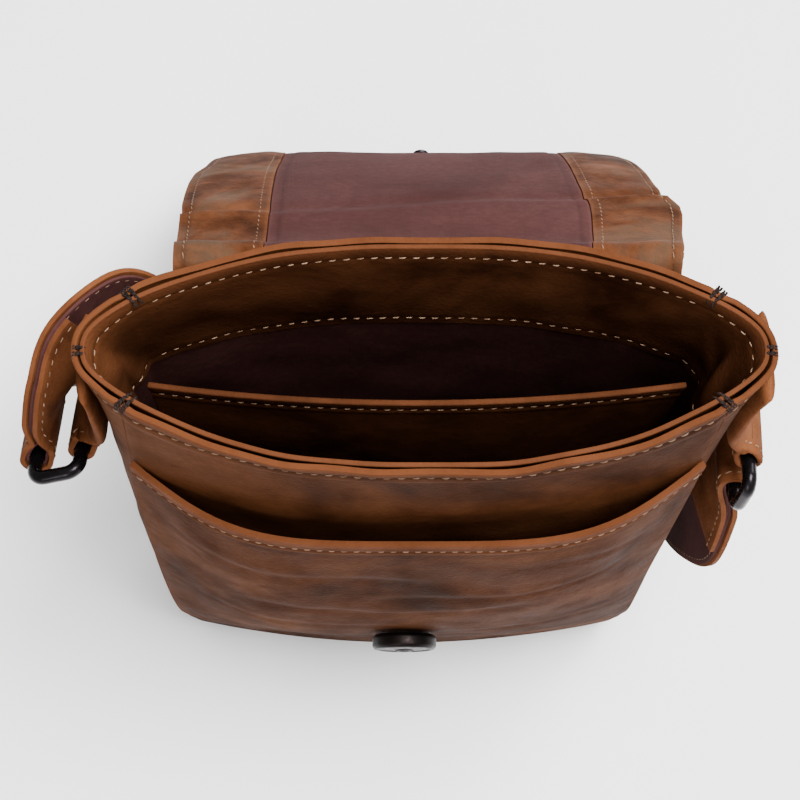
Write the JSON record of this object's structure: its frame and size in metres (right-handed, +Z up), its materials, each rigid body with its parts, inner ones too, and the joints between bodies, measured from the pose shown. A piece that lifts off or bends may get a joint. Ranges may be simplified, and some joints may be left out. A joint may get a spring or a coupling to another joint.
{
  "type": "leather crossbody bag",
  "caption": "Upright leather crossbody bag standing open, flap thrown back, with a divided main compartment, a front pocket, ring-mounted strap and a snap fastener.",
  "frame": {"origin": "middle of the base, on the surface that the bag stands on", "axes": "+X to the bag's right as seen from its front, -Y towards its front, +Z up through the mouth"},
  "size_m": [0.1959, 0.2011, 0.22],
  "materials": {
    "outer_leather": "oiled, mottled tan-brown with paler rubbed edges",
    "facing_leather": "oiled, dark brown",
    "lining": "matt purple-brown cloth",
    "gunmetal": "glossy dark gunmetal plating"
  },
  "bodies": {
    "root": {"front_panel": "outer_leather", "back_panel": "outer_leather", "left_gusset": "outer_leather", "right_gusset": "outer_leather", "base_panel": "outer_leather", "mouth_facing": "facing_leather", "body_lining": "lining", "divider": "lining", "front_pocket": "outer_leather", "flap": "outer_leather", "flap_lining": "lining", "flap_facing_left": "facing_leather", "flap_facing_right": "facing_leather", "flap_facing_end": "facing_leather", "snap_socket": "gunmetal", "snap_stud": "gunmetal", "left_ring": "gunmetal", "right_ring": "gunmetal", "left_tab": "outer_leather", "right_tab": "outer_leather", "strap": "outer_leather", "strap_lining": "lining"}
  },
  "joints": []
}
